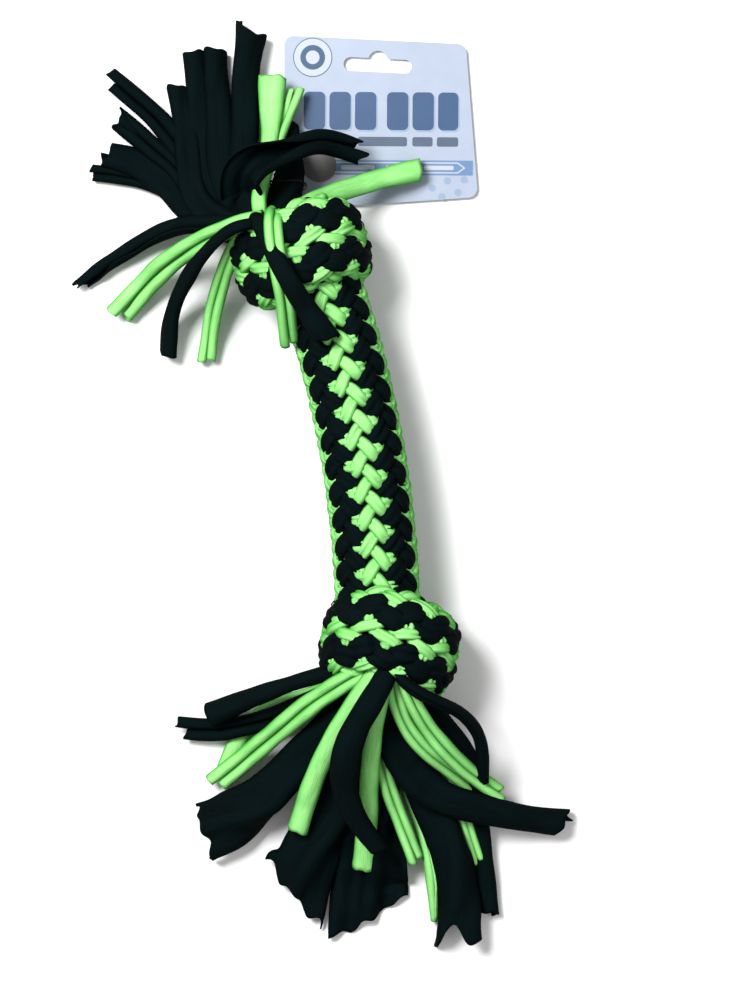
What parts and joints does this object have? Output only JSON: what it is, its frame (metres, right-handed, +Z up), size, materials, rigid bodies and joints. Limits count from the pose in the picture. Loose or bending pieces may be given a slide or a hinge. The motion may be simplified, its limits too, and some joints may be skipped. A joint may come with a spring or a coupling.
{
  "type": "knotted tug rope",
  "caption": "Dog tug rope braided from green and black jersey strips, knotted near both ends, with loose tassels and a blank header card tied on.",
  "frame": {"origin": "on the plane that the rope lies on, in the middle of the lower knot's flat foot", "axes": "+Y along the rope from the lower knot to the upper knot, +Z up off the plane, +X to the side that the header card is on"},
  "size_m": [0.2025, 0.4425, 0.0711],
  "materials": {
    "green_jersey": "matte",
    "black_jersey": "matte",
    "card_stock": "satin",
    "tie_nylon": "matte"
  },
  "bodies": {
    "lower_half": {"lower_knot_wrap": "black_jersey", "lower_shaft_core": "black_jersey", "lower_tail_black_1": "black_jersey", "lower_tail_black_10": "black_jersey", "lower_tail_black_2": "black_jersey", "lower_tail_black_3": "black_jersey", "lower_tail_black_4": "black_jersey", "lower_tail_black_5": "black_jersey", "lower_tail_black_6": "black_jersey", "lower_tail_black_7": "black_jersey", "lower_tail_black_8": "black_jersey", "lower_tail_black_9": "black_jersey", "lower_tail_green_1": "green_jersey", "lower_tail_green_2": "green_jersey", "lower_tail_green_3": "green_jersey", "lower_tail_green_4": "green_jersey", "lower_tail_green_5": "green_jersey", "lower_tail_green_6": "green_jersey", "lower_tail_green_7": "green_jersey", "lower_tail_green_8": "green_jersey", "lower_tail_green_9": "green_jersey", "shaft_strand_left_hand_black_1": "black_jersey", "shaft_strand_left_hand_black_2": "black_jersey", "shaft_strand_left_hand_black_3": "black_jersey", "shaft_strand_left_hand_black_4": "black_jersey", "shaft_strand_left_hand_green_1": "green_jersey", "shaft_strand_left_hand_green_2": "green_jersey", "shaft_strand_left_hand_green_3": "green_jersey", "shaft_strand_left_hand_green_4": "green_jersey", "shaft_strand_right_hand_black_1": "black_jersey", "shaft_strand_right_hand_black_2": "black_jersey", "shaft_strand_right_hand_black_3": "black_jersey", "shaft_strand_right_hand_black_4": "black_jersey", "shaft_strand_right_hand_green_1": "green_jersey", "shaft_strand_right_hand_green_2": "green_jersey", "shaft_strand_right_hand_green_3": "green_jersey", "shaft_strand_right_hand_green_4": "green_jersey"},
    "upper_half": {"card_tie": "tie_nylon", "upper_knot_wrap": "black_jersey", "upper_shaft_core": "black_jersey", "upper_tail_black_1": "black_jersey", "upper_tail_black_10": "black_jersey", "upper_tail_black_11": "black_jersey", "upper_tail_black_12": "black_jersey", "upper_tail_black_13": "black_jersey", "upper_tail_black_2": "black_jersey", "upper_tail_black_3": "black_jersey", "upper_tail_black_4": "black_jersey", "upper_tail_black_5": "black_jersey", "upper_tail_black_6": "black_jersey", "upper_tail_black_7": "black_jersey", "upper_tail_black_8": "black_jersey", "upper_tail_black_9": "black_jersey", "upper_tail_green_1": "green_jersey", "upper_tail_green_2": "green_jersey", "upper_tail_green_3": "green_jersey", "upper_tail_green_4": "green_jersey", "upper_tail_green_5": "green_jersey", "upper_tail_green_6": "green_jersey"},
    "header_card": {"header_card": "card_stock"}
  },
  "joints": [
    {"name": "shaft_bend", "type": "hinge", "parent": "lower_half", "child": "upper_half", "pos_m": [0.00709, 0.09373, 0.03], "axis": [0, 0, 1], "range_deg": [-40, 40], "deforming": ["shaft_strand_left_hand_black_1", "shaft_strand_left_hand_black_2", "shaft_strand_left_hand_black_3", "shaft_strand_left_hand_black_4", "shaft_strand_left_hand_green_1", "shaft_strand_left_hand_green_2", "shaft_strand_left_hand_green_3", "shaft_strand_left_hand_green_4", "shaft_strand_right_hand_black_1", "shaft_strand_right_hand_black_2", "shaft_strand_right_hand_black_3", "shaft_strand_right_hand_black_4", "shaft_strand_right_hand_green_1", "shaft_strand_right_hand_green_2", "shaft_strand_right_hand_green_3", "shaft_strand_right_hand_green_4"]},
    {"name": "card_swivel", "type": "hinge", "parent": "upper_half", "child": "header_card", "pos_m": [0.0065, 0.217, 0.0022], "axis": [0, 0, 1], "range_deg": [-15, 15]}
  ]
}
